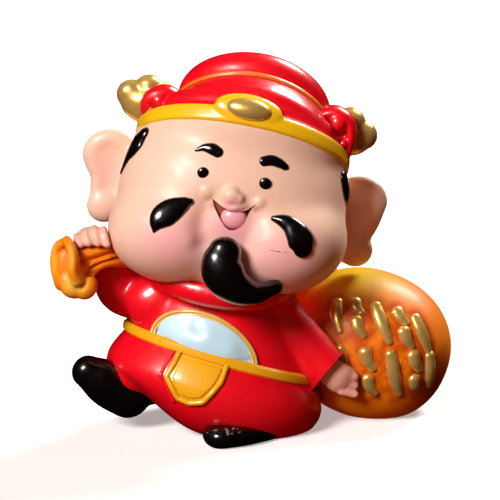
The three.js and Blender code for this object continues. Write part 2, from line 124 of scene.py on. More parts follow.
table.visible_diffuse = False
table.visible_shadow = False

# White card with no gloss. It is lifted to white for the camera alone, and throws no extra light.
table_paint = bpy.data.materials.new("matt_white_board")
table_paint.use_nodes = True
table_shader = table_paint.node_tree.nodes["Principled BSDF"]
table_shader.inputs["Base Color"].default_value = linear("#F2F0EE")
table_shader.inputs["Roughness"].default_value = 0.9
table_shader.inputs["Emission Color"].default_value = linear("#FFFFFF")
BOARD_GLOW = 0.36
seen_glow = add_node(table_paint.node_tree, "Math", {0: BOARD_GLOW}, operation="MULTIPLY")
camera_ray = add_node(table_paint.node_tree, "LightPath").outputs["Is Camera Ray"]
table_paint.node_tree.links.new(camera_ray, seen_glow.inputs[1])
table_paint.node_tree.links.new(seen_glow.outputs[0], table_shader.inputs["Emission Strength"])
table.data.materials.append(table_paint)


# The robe: a fat egg that leans to the figure's left, with a collar roll and two sleeves, all one red paint.
# Heights in it are counted from its widest ring.
ROBE_RADIUS = 20
ROBE_DEPTH_RATIO = 0.8
ROBE_CENTRE = (-0.4, 0, 7)
ROBE_TURN = np.array(Euler((math.radians(-8), math.radians(16.5), 0)).to_matrix())
ROBE_BEND = -0.011
HEM_LIFT = 0.45
BELT_HEIGHT = 6.6
BELT_RADIUS = 17.6
BELT_WIDTH = 2
ROBE_PROFILE = [
    (0, -8.3), (8, -8), (14, -6.6), (18.6, -3.4), (ROBE_RADIUS + 0.3, 0.4), (19.4, 3.6),
    (BELT_RADIUS, BELT_HEIGHT), (16.6, 10), (15.6, 13.5), (14.2, 17), (11, 20), (0, 21.5),
]


def select(*objects):
    """Selects only these objects and makes the first one active."""
    bpy.ops.object.select_all(action="DESELECT")
    for obj in objects:
        obj.select_set(True)
    bpy.context.view_layer.objects.active = objects[0]


def points_of(obj):
    points = np.empty(len(obj.data.vertices) * 3)
    obj.data.vertices.foreach_get("co", points)
    return points.reshape(-1, 3)


def move_points(obj, points):
    obj.data.vertices.foreach_set("co", np.asarray(points, float).ravel())
    obj.data.update()


def place(obj, centre, lean=0, pitch=0):
    """Pitches a form back, leans it to the figure's left and moves it, all applied to its mesh."""
    obj.rotation_euler = (math.radians(-pitch), math.radians(lean), 0)
    obj.location = centre
    select(obj)
    bpy.ops.object.transform_apply()
    return obj


def worked(obj, kind, **settings):
    """Adds a modifier with its settings and applies it."""
    modifier = obj.modifiers.new(kind.lower(), kind)
    for key, value in settings.items():
        setattr(modifier, key, value)
    select(obj)
    bpy.ops.object.modifier_apply(modifier=modifier.name)
    return obj


def ball(half, centre=(0, 0, 0), exponent=2, lean=0, pitch=0, around=48):
    """An ellipsoid that gets squarer as its exponent grows past 2."""
    bpy.ops.object.select_all(action="DESELECT")
    bpy.ops.mesh.primitive_uv_sphere_add(segments=around, ring_count=around // 2, radius=1)
    obj = bpy.context.object
    unit = points_of(obj)
    reach = (np.abs(unit) ** exponent).sum(1) ** (-1 / exponent)
    move_points(obj, unit * reach[:, None] * half)
    return place(obj, centre, lean, pitch)


def flowing(rows, count=160):
    """A smooth curve through rows whose first three columns are a place, spaced evenly, and its length."""
    knots = np.array(rows, float)
    knots = np.vstack([2 * knots[0] - knots[1], knots, 2 * knots[-1] - knots[-2]])
    t = np.linspace(0, 1, 24)[:, None]
    curve = []
    for a, b, c, d in zip(knots, knots[1:], knots[2:], knots[3:]):
        curve.append(b + t * ((c - a) + t * ((2 * a - 5 * b + 4 * c - d) + t * (3 * (b - c) + d - a))) / 2)
    curve = np.vstack(curve)
    reach = np.concatenate([[0], np.cumsum(np.linalg.norm(np.diff(curve[:, :3], axis=0), axis=1))])
    even = np.linspace(0, reach[-1], count)
    return np.column_stack([np.interp(even, reach, row) for row in curve.T]), reach[-1]


def limb(path, wide, thick=None, facing=(0, -1, 0), around=28, along=40, flutes=0, fold=0):
    """A rounded body along a path, with half sizes along it. thick is measured towards facing."""
    places = np.linspace(0, 1, len(path))
    sizes = [np.interp(places, np.linspace(0, 1, len(row)), row) for row in (wide, thick or wide)]
    rows, length = flowing(np.column_stack([path, *sizes]))
    line = rows[:, :3]
    headings = np.gradient(line, axis=0)
    headings /= np.linalg.norm(headings, axis=1, keepdims=True)
    start_cap, end_cap = (0.9 * max(row[i] for row in sizes) for i in (0, -1))
    bpy.ops.object.select_all(action="DESELECT")
    bpy.ops.mesh.primitive_uv_sphere_add(segments=around, ring_count=along, radius=1)
    obj = bpy.context.object
    unit = points_of(obj)
    reach = (unit[:, 2] + 1) / 2 * (length + start_cap + end_cap) - start_cap
    past = np.where(reach < 0, reach / start_cap, np.maximum(0, (reach - length) / end_cap))
    spot = np.clip(reach / length, 0, 1) * (len(line) - 1)
    spread = [np.interp(spot, np.arange(len(line)), row) for row in np.column_stack([rows, headings]).T]
    middle = np.column_stack(spread[:3])
    half_wide, half_thick = spread[3:5]
    heading = np.column_stack(spread[5:])
    side = np.cross(facing, heading)
    side /= np.linalg.norm(side, axis=1, keepdims=True)
    out = np.cross(heading, side)
    angle = np.arctan2(unit[:, 1], unit[:, 0])
    size = np.sqrt(np.maximum(0, 1 - past ** 2)) * (1 + fold * np.cos(flutes * angle))
    middle += heading * (past * np.where(past < 0, start_cap, end_cap))[:, None]
    middle += side * (np.cos(angle) * half_wide * size)[:, None]
    middle += out * (np.sin(angle) * half_thick * size)[:, None]
    move_points(obj, middle)
    return obj


def new_mesh(name, points, edges=(), faces=()):
    mesh = bpy.data.meshes.new(name)
    mesh.from_pydata([tuple(p) for p in points], list(edges), list(faces))
    obj = bpy.data.objects.new(name, mesh)
    bpy.context.collection.objects.link(obj)
    return obj


def clean(obj):
    """Merges doubled corners and turns every face outwards."""
    select(obj)
    bpy.ops.object.mode_set(mode="EDIT")
    bpy.ops.mesh.select_all(action="SELECT")
    bpy.ops.mesh.remove_doubles(threshold=1e-4)
    bpy.ops.mesh.normals_make_consistent(inside=False)
    bpy.ops.object.mode_set(mode="OBJECT")
    return obj


def turned(profile, depth_ratio=1, around=112, soft=True):
    """A form turned about Z from a profile of (radius, height) that starts and ends on the axis."""
    rows = [(radius, 0, height) for radius, height in profile]
    if soft:
        rows, _ = flowing(rows, 64)
        rows[:, 0] = np.maximum(rows[:, 0], 0)
        rows[[0, -1], 0] = 0
    obj = new_mesh("turned", rows, edges=[(i, i + 1) for i in range(len(rows) - 1)])
    worked(obj, "SCREW", steps=around, render_steps=around, use_merge_vertices=True, merge_threshold=1e-3)
    move_points(obj, points_of(obj) * (1, depth_ratio, 1))
    return clean(obj)


def ease(value, low, high):
    """0 below low, 1 above high, and a smooth step between."""
    t = np.clip((np.asarray(value, float) - low) / (high - low), 0, 1)
    return t * t * (3 - 2 * t)


def onto_robe(points):
    """Takes points of the upright robe to the leaning one, whose hem the raised leg lifts on the right."""
    x, y, height = np.array(points, float).T
    lift = HEM_LIFT + (1 - HEM_LIFT) * ease(x, -0.9 * ROBE_RADIUS, 0)
    bent = x + np.where(height > 0, ROBE_BEND * height ** 2, 0)
    lifted = np.where(height > 0, height, height * lift)
    return np.column_stack([bent, y, lifted]) @ ROBE_TURN.T + ROBE_CENTRE


def on_robe(obj):
    move_points(obj, onto_robe(points_of(obj)))
    return obj


def upright_robe(swell=0):
    """The robe's form before it leans, swelled by a thickness that raised trims are cut from."""
    return turned([(r + swell if r else 0, h) for r, h in ROBE_PROFILE], ROBE_DEPTH_RATIO)


def merged(name, parts, voxel, rounds, keep=0.5):
    """Melts forms of one paint into one skin, with soft fillets where they meet."""
    select(*parts)
    if len(parts) > 1:
        bpy.ops.object.join()
    obj = bpy.context.object
    obj.name = name
    worked(obj, "REMESH", mode="VOXEL", voxel_size=voxel)
    worked(obj, "SMOOTH", factor=0.5, iterations=rounds)
    return worked(obj, "DECIMATE", ratio=keep)


def creased(obj, path, depth, width):
    """Presses a soft crease along a path into a form, or raises a soft fold with a negative depth."""
    bpy.context.view_layer.update()
    line, _ = flowing([tuple(obj.closest_point_on_mesh(Vector(spot))[1]) for spot in path], 60)
    points = points_of(obj)
    normals = np.empty(len(points) * 3)
    obj.data.vertex_normals.foreach_get("vector", normals)
    away = np.min(np.linalg.norm(points[:, None] - line[None], axis=2), axis=1)
    move_points(obj, points - normals.reshape(-1, 3) * (depth * np.exp(-(away / width) ** 2))[:, None])
    return obj


def paint(obj, material):
    obj.data.materials.clear()
    obj.data.materials.append(material)
    return obj


# Acrylic paint brushed on resin by hand and varnished: a clear gloss over a slightly uneven colour, which is
# darker where forms meet, partly as pooled paint and partly as painted shade. Brush marks and dust under
# the varnish are about 1 mm apart.
POOL_AND_SHADE_REACH = 1.6 * MM
BRUSH_MARK = 1.1


def in_figure(tree):
    """Texture coordinates in millimetres in the figure's own frame."""
    spot = add_node(tree, "TexCoord").outputs["Object"]
    shift = tuple(-figure_origin / MM)
    links = {"Vector": spot, "Location": shift, "Scale": (1 / MM,) * 3}
    return add_node(tree, "Mapping", links).outputs["Vector"]


def brushed_paint(name, colour, pooled_and_shaded, roughness=0.34, coat=0.6, unevenness=0.1, pooling_and_shade=0.75):
    """Varnished paint with a colour, and a deeper colour in creases: pooled paint and painted shade together.
    """
    material = bpy.data.materials.new(name)
    material.use_nodes = True
    tree = material.node_tree
    shader = tree.nodes["Principled BSDF"]
    spot = in_figure(tree)
    cloudy = add_node(tree, "TexNoise", {"Vector": spot, "Scale": 0.22, "Detail": 3.0}).outputs["Fac"]
    near = {"Distance": POOL_AND_SHADE_REACH}
    # The occlusion mask darkens the colour in creases and between parts: painted shade, with the pooled
    # paint.
    crease = add_node(tree, "AmbientOcclusion", near, only_local=True, samples=8).outputs["AO"]
    depth = add_node(tree, "MapRange", {"Value": crease, "From Min": 0.25, "From Max": 0.8,
                                        "To Min": pooling_and_shade, "To Max": 0.0}).outputs["Result"]
    mottle = add_node(tree, "MapRange", {"Value": cloudy, "From Min": 0.35, "From Max": 0.7,
                                         "To Min": 0.0, "To Max": unevenness}).outputs["Result"]
    share = add_node(tree, "Math", {0: depth, 1: mottle}, operation="MAXIMUM").outputs[0]
    mix = add_node(tree, "Mix", {"Factor": share, 6: linear(colour), 7: linear(pooled_and_shaded)}, data_type="RGBA")
    tree.links.new(mix.outputs[2], shader.inputs["Base Color"])
    brush = {"Vector": spot, "Scale": 1 / BRUSH_MARK, "Detail": 4.0}
    marks = add_node(tree, "TexNoise", brush).outputs["Fac"]
    gloss = add_node(tree, "MapRange", {"Value": marks, "From Min": 0.3, "From Max": 0.7,
                                        "To Min": roughness - 0.06, "To Max": roughness + 0.06})
    tree.links.new(gloss.outputs["Result"], shader.inputs["Roughness"])
    bump = add_node(tree, "Bump", {"Height": marks, "Distance": 0.03 * MM, "Strength": 0.6})
    tree.links.new(bump.outputs["Normal"], shader.inputs["Normal"])
    tree.links.new(bump.outputs["Normal"], shader.inputs["Coat Normal"])
    shader.inputs["IOR"].default_value = 1.48
    shader.inputs["Coat Weight"].default_value = coat
    shader.inputs["Coat Roughness"].default_value = 0.14
    return material


def pattern_place(material):
    """The place of a brushed paint's pattern, in millimetres in the figure's own frame."""
    return next(node for node in material.node_tree.nodes if node.type == "MAPPING").outputs["Vector"]


def region(tree, spot, centre, reach, strength, turn=0.0, soft=0.2):
    """A soft mask of an ellipsoid, turned about the Y axis."""
    links = {"Vector": spot, "Location": centre, "Rotation": (0, turn, 0), "Scale": reach}
    local = add_node(tree, "Mapping", links, vector_type="TEXTURE").outputs["Vector"]
    distance = add_node(tree, "VectorMath", {0: local}, operation="LENGTH").outputs["Value"]
    fade = {"Value": distance, "From Min": soft, "From Max": 1.15, "To Min": strength, "To Max": 0.0}
    return add_node(tree, "MapRange", fade, interpolation_type="SMOOTHSTEP").outputs["Result"]


def overlaid(material, share, colour):
    """Lays a thin second colour over a paint where share is above 0."""
    tree = material.node_tree
    base = tree.nodes["Principled BSDF"].inputs["Base Color"]
    colours = {"Factor": share, 6: base.links[0].from_socket, 7: linear(colour)}
    mix = add_node(tree, "Mix", colours, data_type="RGBA")
    tree.links.new(mix.outputs[2], base)


def cut(obj, tool, operation):
    """Joins a form with another, cuts it away or keeps only what both fill. The other one is used up."""
    worked(obj, "BOOLEAN", object=tool, operation=operation, solver="MANIFOLD", material_mode="TRANSFER")
    bpy.data.objects.remove(tool)
    return obj


# Opaque red acrylic under varnish: bright and glossy, wine red in creases as pooled paint and painted shade.
red_paint = brushed_paint("red_gloss_paint", "#F20A20", "#8A0206")
COLLAR_PROFILE = [(0, -1.9), (12.6, -1.8), (13.7, -0.6), (13.9, 1), (12.9, 2.7), (0, 3.2)]
COLLAR_DEPTH_RATIO = 0.93
collar_roll = turned(COLLAR_PROFILE, COLLAR_DEPTH_RATIO, soft=False)
place(collar_roll, (1.4, -0.9, 27.7), lean=8, pitch=-8)
shoulder = ball((6.2, 4.5, 5.4), (-10, -2.9, 23.5))
right_sleeve = limb([(-8, 0.6, 24.5), (-13.4, 1, 24.6), (-16.8, 1, 25.6), (-18.2, -0.2, 29.4)],
                    [5.4, 5.1, 5, 3.8])
left_sleeve = limb([(9, -2, 24), (13.6, -3.4, 19.6), (17.4, -4, 15), (20.6, -4.4, 11.2), (21.8, -4.6, 9.8)],
                   [4.4, 3.8, 3.9, 4.2, 4.2], [4.2, 3.8, 3.8, 3.9, 3.9])
hip = ball((5.8, 8, 5), (-14.4, 0, 10.6))
robe_forms = [on_robe(upright_robe()), hip, collar_roll, shoulder, right_sleeve, left_sleeve]
robe = paint(merged("robe", robe_forms, 0.45, 20), red_paint)

# The left sleeve ends in a flat cut, and its opening shows a lining in a pinker red.
CUFF = {"centre": (20.7, -4.2, 11.4), "lean": -51, "pitch": 14}
CUFF_ROOM = (12, 12, 9)
bpy.ops.object.select_all(action="DESELECT")
bpy.ops.mesh.primitive_cube_add(size=1, scale=CUFF_ROOM, location=(0, 0, -CUFF_ROOM[2] / 2))
bpy.ops.object.transform_apply()
cuff_space = place(bpy.context.object, **CUFF)
cut(cuff_space, place(ball((4.9, 4.6, 7.5), exponent=6), **CUFF), "INTERSECT")
lining_paint = brushed_paint("crimson_gloss_paint", "#E0184A", "#6E0418")
cut(robe, paint(cuff_space, red_paint), "DIFFERENCE")
cut(robe, paint(place(ball((3.5, 3.3, 3)), **CUFF), lining_paint), "DIFFERENCE")


# The belt: a raised flat cord round the robe, cast with it and painted yellow.
# Warm yellow acrylic under varnish, browner along its edges, as pooled paint and painted shade.
yellow_paint = brushed_paint("yellow_gloss_paint", "#F7B416", "#A8600A")
belt_half = BELT_WIDTH / 2
belt_outer = BELT_RADIUS + 0.95
belt_section = [(0, -belt_half), (belt_outer - 0.6, -belt_half), (belt_outer - 0.1, -0.6 * belt_half),
                (belt_outer, 0), (belt_outer - 0.1, 0.6 * belt_half), (belt_outer - 0.6, belt_half),
                (0, belt_half)]
belt_rows = [(radius, BELT_HEIGHT + height) for radius, height in belt_section]
belt = paint(on_robe(turned(belt_rows, ROBE_DEPTH_RATIO, around=160, soft=False)), yellow_paint)


# The bare belly: half an ellipse that bulges out above the belt, painted a cold white, with a gold cord cast
# round it. A few soft wrinkles cross its upper left.
BELLY_CENTRE = (-3.6, BELT_HEIGHT + belt_half - 1)
BELLY_HALF = (9.9, 7.2)
BELLY_RIM = 0.9


def on_robe_skin(x, height, proud=0):
    """The place on the leaning robe's front for a place on the upright one."""
    radii, heights = flowing([(r, 0, h) for r, h in ROBE_PROFILE], 400)[0].T[[0, 2]]
    radius = np.interp(height, heights, radii) + proud
    depth = ROBE_DEPTH_RATIO * math.sqrt(max(0, radius ** 2 - x ** 2))
    return tuple(onto_robe([(x, -depth, height)])[0])


def plate(outline, depth=30):
    """A plate cut to an outline in the XZ plane, which reaches forward from y = 0."""
    obj = new_mesh("plate", [(x, 0, z) for x, z in outline], faces=[range(len(outline))])
    select(obj)
    bpy.ops.object.mode_set(mode="EDIT")
    bpy.ops.mesh.select_all(action="SELECT")
    bpy.ops.mesh.extrude_region_move(TRANSFORM_OT_translate={"value": (0, -depth, 0)})
    bpy.ops.object.mode_set(mode="OBJECT")
    return clean(obj)


def belly_arc(margin, steps=48):
    """The belly's edge, drawn in by a margin, from its left foot to its right one."""
    angles = np.linspace(math.pi, 0, steps)
    return [(BELLY_CENTRE[0] + (BELLY_HALF[0] - margin) * math.cos(a),
             BELLY_CENTRE[1] + (BELLY_HALF[1] - margin) * math.sin(a)) for a in angles]


# Bluish white acrylic with a thinner varnish, so its gloss is softer.
belly_paint = brushed_paint("cold_white_gloss_paint", "#C6ECFD", "#8CA4B8", roughness=0.36, coat=0.25,
                            pooling_and_shade=0.5)
belly_edge = belly_arc(BELLY_RIM / 2)
belly_foot = BELLY_CENTRE[1] - 0.6
belly_outline = [(belly_edge[0][0], belly_foot), *belly_edge, (belly_edge[-1][0], belly_foot)]
belly = merged("belly", [cut(upright_robe(0.15), plate(belly_outline), "INTERSECT")], 0.28, 2)
belly_points = points_of(belly)
across, _, up = ((belly_points - (BELLY_CENTRE[0], 0, BELLY_CENTRE[1] + 3.6)) / (BELLY_HALF[0], 1, 3.7)).T
in_front = belly_points[:, 1] < -4
belly_points[:, 1] -= 1.1 * in_front * np.sqrt(np.clip(1 - across ** 2 - up ** 2, 0, 1))
move_points(belly, belly_points)
FOLDS = [
    ([(-10, 10.5), (-8.2, 11.6), (-6.4, 11.4)], 0.3), ([(-9, 9), (-7, 10.2), (-4.8, 9.5)], -0.2),
    ([(-5.4, 12), (-3.4, 12.9), (-1.4, 12.2)], 0.3), ([(-2.4, 11.2), (-0.2, 11.6), (1.6, 10.2)], -0.2),
    ([(1.2, 12), (2.8, 10.6), (3.8, 9)], 0.25),
]
for row, depth in FOLDS:
    creased(belly, [(x, -15, h) for x, h in row], depth, 1.9)
belly = paint(on_robe(worked(belly, "SMOOTH", factor=0.5, iterations=4)), belly_paint)
# Pale gold-coloured acrylic without metal in it, dark in the groove between the cords, as pooled paint and
# painted shade.
gold_cord_paint = brushed_paint("old_gold_gloss_paint", "#E8BE5C", "#8A5A1C", roughness=0.38)
rim_lines = [[on_robe_skin(x, h, 0.2) for x, h in belly_arc(margin, 14)] for margin in (0.16, 0.66)]
belly_rims = [paint(limb(line, [0.3, 0.36, 0.3, 0.38, 0.32, 0.36, 0.3], [0.5], around=14, along=140),
                    gold_cord_paint) for line in rim_lines]


# The pouch flap: a pentagon that hangs from the belt, cast with the robe and painted yellow. A raised border
# runs round a flat panel, with a groove between them, and an edge of the robe stands up beside it.
FLAP_TOP = BELT_HEIGHT - belt_half + 0.5
FLAP_CORNERS = [(-8.2, 0.2), (-9.8, -4.8), (-6.6, -8.6), (-4.2, -8.8), (-1.7, -7.7), (0.7, -3), (1.2, 0.2)]
FLAP_MIDDLE = (-4.2, -4)
FLAP_BORDER = 1.1


def flap_outline(margin):
    """The flap's outline on the upright robe, drawn in by a margin."""
    rows = []
    for x, z in FLAP_CORNERS:
        across = x - FLAP_MIDDLE[0]
        down = z - FLAP_MIDDLE[1]
        arm = math.hypot(across, down)
        keep = (arm - margin) / arm
        rows.append((FLAP_MIDDLE[0] + across * keep, FLAP_TOP + FLAP_MIDDLE[1] + down * keep))
    return rows


def robe_plate(outline, swell):
    """A plate of even thickness that lies on the robe, cut to an outline drawn on the upright robe."""
    rows = []
    for (x0, z0), (x1, z1) in zip(outline, outline[1:] + outline[:1]):
        rows += [(x0 + (x1 - x0) * i / 8, z0 + (z1 - z0) * i / 8) for i in range(8)]
    return cut(on_robe(upright_robe(swell)), on_robe(plate(rows)), "INTERSECT")


flap_line = flap_outline(FLAP_BORDER / 2)
border = [limb([on_robe_skin(*start, 0.1), on_robe_skin(*[(a + b) / 2 for a, b in zip(start, end)], 0.1),
                on_robe_skin(*end, 0.1)], [FLAP_BORDER / 2] * 3, [0.62] * 3, around=20, along=24)
          for start, end in zip(flap_line, flap_line[1:])]
flap_panel = merged("panel", [robe_plate(flap_outline(1.45), 0.5)], 0.2, 4)
flap_base = robe_plate(flap_outline(0.4), 0.16)
flap = paint(merged("flap", border, 0.22, 3), yellow_paint)
edge_line = flap_outline(-0.55)[:3]
robe_edges = [limb([on_robe_skin(*start), on_robe_skin(*end)], [0.42], [0.36], around=14, along=20)
              for start, end in zip(edge_line, edge_line[1:])]
for edge in robe_edges:
    paint(edge, red_paint)
for part in (flap_panel, flap_base):
    cut(flap, paint(part, yellow_paint), "UNION")


# The boots: smooth and rounded, black gloss. The left one stands under the hem and the right one swings up.
# Black lacquer, the glossiest paint on the figure. Pale flecks on top of the standing boot's toe are painted
# highlights.
black_paint = brushed_paint("black_gloss_paint", "#0B0505", "#020101", roughness=0.24, coat=0.9,
                            unevenness=0.0)
standing_boot = limb([(9.5, -9, 1.4), (5, -12.2, 1.8), (1, -13.8, 1.9)], [2.4, 3.2, 3.4], [1.7, 2.1, 2.3],
                     facing=(0, 0, 1))
swinging_boot = limb([(-15.5, -3.6, 6.5), (-18.2, -4.2, 8.1), (-20.4, -4.8, 9.7), (-23, -5.2, 11.4)],
                     [4.4, 4.4, 4.1, 3], [3.7, 3.6, 3.4, 2.8])
trouser_leg = limb([(-9, -1.5, 8.5), (-14.5, -3, 8.2)], [4, 3.9])
# Pale grey flecks in a patch on the toe: painted highlights, glints of light on the lacquer.
TOE_GLINTS = ((2.6, -15.2, 3.2), (2.2, 2, 0.6))
tree = black_paint.node_tree
spot = pattern_place(black_paint)
flecks = add_node(tree, "TexNoise", {"Vector": spot, "Scale": 1.15, "Detail": 1.0}).outputs["Fac"]
glint_spots = add_node(tree, "MapRange", {"Value": flecks, "From Min": 0.58, "From Max": 0.62}).outputs["Result"]
glint_area = region(tree, spot, *TOE_GLINTS, 0.8, soft=0.7)
painted_glints = add_node(tree, "Math", {0: glint_area, 1: glint_spots}, operation="MULTIPLY").outputs[0]
overlaid(black_paint, painted_glints, "#8E8480")
boots = paint(merged("boots", [standing_boot, swinging_boot, trouser_leg], 0.4, 8), black_paint)


# The head: a wide rounded box with two full cheeks and a chin, a button nose, two little smile bumps and
# long-lobed ears, all one skin paint. The cheeks and chin are blushed with a dry brush.
HEAD_HALF = (20.6, 17.2, 15.6)
HEAD_PLACE = {"centre": (3.1, 1, 42), "lean": 11, "pitch": 10}
HEAD_SQUARENESS = 2.4
EAR_HALF_DEPTH = 2
skull = ball(HEAD_HALF, exponent=HEAD_SQUARENESS, around=96, **HEAD_PLACE)
right_cheek = ball((12.3, 12.4, 10), (-6.8, -5.6, 37.9))
left_cheek = ball((12.1, 12.4, 10), (11.7, -5.9, 36))
chin = ball((8.4, 8, 8), (2.4, -8.2, 34.6))
HAT_RADIUS = 19.4
HAT_DEPTH_RATIO = 0.87
HAT_PLACE = {"centre": (4.9, 2, 50.3), "lean": 11.5, "pitch": 28}
brow_ring = turned([(0, -5), (15.4, -4.6), (18.1, -2.6), (18.8, -1), (18.5, 1), (0, 1.4)], HAT_DEPTH_RATIO)
place(brow_ring, **HAT_PLACE)
head = merged("head", [skull, brow_ring, right_cheek, left_cheek, chin], 0.7, 40)


def seen_from_front(obj, x, z):
    """Where a form is met first from the front, at a place given by x and z, and its normal there."""
    _, spot, normal, _ = obj.ray_cast(Vector((x, -80, z)), Vector((0, 1, 0)))
    return spot, normal


def front_of(obj, x, z):
    return (x, seen_from_front(obj, x, z)[0].y, z)


def ear(path, wide, lobe):
    """A long slab with a rounded rim round a hollow, and a full lobe below."""
    slab = limb(path, wide, [EAR_HALF_DEPTH] * len(wide))
    hollow = limb([(x, y - 2.4, z) for x, y, z in path[:-1]], [size - 1.3 for size in wide[:-1]],
                  [1.3] * (len(wide) - 1))
    cut(slab, hollow, "DIFFERENCE")
    return merged("ear", [slab, lobe], 0.4, 4)


EAR_Y = 6.4
LEFT_EAR_Y = 8.2
right_ear = ear([(-19, EAR_Y, 49), (-18.6, EAR_Y, 45.4), (-19.4, EAR_Y, 42), (-19.6, EAR_Y, 39.8)],
                [5.2, 4.5, 3.5, 3.4], ball((3.2, 2, 3.2), (-20.3, EAR_Y - 0.6, 39.6)))
left_ear = ear([(26.4, LEFT_EAR_Y, 40), (25.8, LEFT_EAR_Y, 36.5), (24.8, LEFT_EAR_Y, 33.2),
                (24.6, LEFT_EAR_Y, 31.2)],
               [5.2, 4.4, 3.5, 3.4], ball((3.3, 2, 3.3), (25.6, LEFT_EAR_Y - 0.6, 31)))


def on_form(obj, spots, wide, thick):
    """A raised stroke on a form's front, along a path of x and z places."""
    rows = []
    normals = Vector()
    for x, z in spots:
        spot, normal = seen_from_front(obj, x, z)
        rows.append(tuple(spot))
        normals += normal
    return limb(rows, wide, thick, facing=tuple(normals.normalized()))


bpy.context.view_layer.update()
creased(head, [front_of(head, -0.8, 44.6), front_of(head, -1.8, 41), front_of(head, -1.6, 37)], 1.3, 1.5)
creased(head, [front_of(head, 7, 43.4), front_of(head, 6.6, 40), front_of(head, 5.6, 36.5)], 0.8, 1.4)
worked(head, "SMOOTH", factor=0.5, iterations=6)
bpy.context.view_layer.update()
nose = [ball((1.65, 1.25, 1.65), front_of(head, 3.1, 45.3)),
        ball((1.1, 1.05, 1.1), front_of(head, 4.3, 44.9))]
upper_lip = on_form(head, [(1.5, 43.9), (3.4, 43.4), (5.4, 43.7)], [0.5, 0.7, 0.5], [0.4, 0.7, 0.4])
smile_bumps = [ball((1.1, 0.5, 1.1), front_of(head, -1.2, 45.9)),
               ball((1.05, 0.5, 1.05), front_of(head, 7.9, 44))]
face = [head, right_ear, left_ear, *nose, upper_lip, *smile_bumps]

# The hands: a fist whose four fingers curl over the sack's neck, and a mitten of a hand on the sack.
wrist = limb([(-18.8, 0.4, 30.8), (-20.2, -2.6, 34)], [2.2, 2.4])
palm = ball((3.4, 2.8, 2.4), (-21.6, -4.8, 35.4))
KNUCKLES = [(-24.3, 36.2, 0.7), (-22.9, 37.2, 1.5), (-21.3, 37.6, 1.9), (-19.7, 37.4, 1.9)]
fingers = [limb([(x, -5.6, z), (x + 0.3, -8.4, z - 0.2), (x + 0.9, -9.4, z - reach)], [0.74, 0.78, 0.72],
                facing=(0, 0.4, 1)) for x, z, reach in KNUCKLES]
left_hand = limb([(20.2, -4.4, 11.6), (22.2, -4.2, 10), (23.4, -3.6, 9.2)], [2.5, 2.8, 2.8], [2, 2, 1.8])
left_fingers = [limb([(22.8, -4.6, 10.8 - drop), (25.2, -4.2, 10 - drop)], [0.9, 0.8])
                for drop in (0, 1.6, 3.2)]
hands = merged("hands", [wrist, palm, *fingers, left_hand, *left_fingers], 0.26, 2)

# Flesh-coloured acrylic, satin rather than glossy, with pink dry-brushed over it and a thin scratch. The pink
# is kept pale, partly as a painted highlight on the chin below the mouth.
skin_paint = brushed_paint("skin_gloss_paint", "#F8CEB6", "#A8543E", roughness=0.44, coat=0.06,
                           unevenness=0.05, pooling_and_shade=0.65)
BLUSHES_AND_CHIN_SHEEN = [
    ((-6.5, -16, 38), (9, 9, 7), 0.75), ((3, -18, 39.5), (7, 7, 5.5), 0.9), ((11.5, -15, 35), (9, 9, 7), 0.7),
    ((3.2, -19, 44), (3.4, 5, 2.2), 0.75), ((-20, 3, 45), (4, 5, 8), 0.35), ((26, 3, 37), (4, 5, 7), 0.4),
]
tree = skin_paint.node_tree
spot = pattern_place(skin_paint)
blush_and_sheen = 0.0
for centre, reach, strength in BLUSHES_AND_CHIN_SHEEN:
    mask = region(tree, spot, centre, reach, strength)
    blush_and_sheen = add_node(tree, "Math", {0: mask, 1: blush_and_sheen}, operation="MAXIMUM").outputs[0]
overlaid(skin_paint, blush_and_sheen, "#FFB4BC")
# The hands are tinted a browner red. It stands for the shade they lie in as much as for their paint.
HAND_TINTS = [((24, -5, 9.6), (5, 6, 5), 0.6), ((-21.4, -8, 35.6), (5, 5, 3.4), 0.4)]
for hand, reach, strength in HAND_TINTS:
    overlaid(skin_paint, region(tree, spot, hand, reach, strength), "#D87468")
# The skin round the corners of the mouth is darkened red: painted shade in the folds there.
MOUTH_CORNER_SHADES = [((0, -18, 43.6), (1.1, 4, 1.2)), ((7.2, -18, 43), (1, 4, 0.9))]
for corner, reach in MOUTH_CORNER_SHADES:
    overlaid(skin_paint, region(tree, spot, corner, reach, 0.75), "#A84640")
scratch = region(tree, spot, (11.3, -16.6, 36.05), (2.1, 3, 0.12), 0.9, turn=math.radians(7.5), soft=0.6)
dashes = add_node(tree, "TexNoise", {"Vector": spot, "Scale": 2.4, "Detail": 2.0}).outputs["Fac"]
breaks = add_node(tree, "MapRange", {"Value": dashes, "From Min": 0.42, "From Max": 0.5}).outputs["Result"]
scratched = add_node(tree, "Math", {0: scratch, 1: breaks}, operation="MULTIPLY").outputs[0]
overlaid(skin_paint, scratched, "#6A3420")
skin = paint(merged("skin", face, 0.36, 3), skin_paint)
paint(hands, skin_paint)
bpy.context.view_layer.update()


# The mouth: a laughing pocket whose upper edge dips under the nose, painted dark red, with the tongue in it.
MOUTH_DEPTH = 1.3
UPPER_LIP = [(-0.2, 44.8), (0.9, 44), (2.2, 43.2), (3.9, 42.7), (5.5, 42.8), (6.6, 43.4), (7.4, 44)]
LOWER_LIP = [(6.4, 42.8), (5.8, 41.7), (5.3, 40.7), (4.5, 39.9), (3.3, 39.4), (2.2, 39.8), (1.4, 40.9),
             (0.7, 42.2), (0.1, 43.6)]
LIPS = UPPER_LIP + LOWER_LIP
closed_lips, _ = flowing([(x, 0, z) for x, z in LIPS + LIPS[:1]], 90)
mouth_front = front_of(skin, 3.1, 41.6)[1]
mouth_back = mouth_front + MOUTH_DEPTH
pocket = plate([(x, z) for x, _, z in closed_lips[:-1]], 10)
place(pocket, (0, mouth_back, 0))
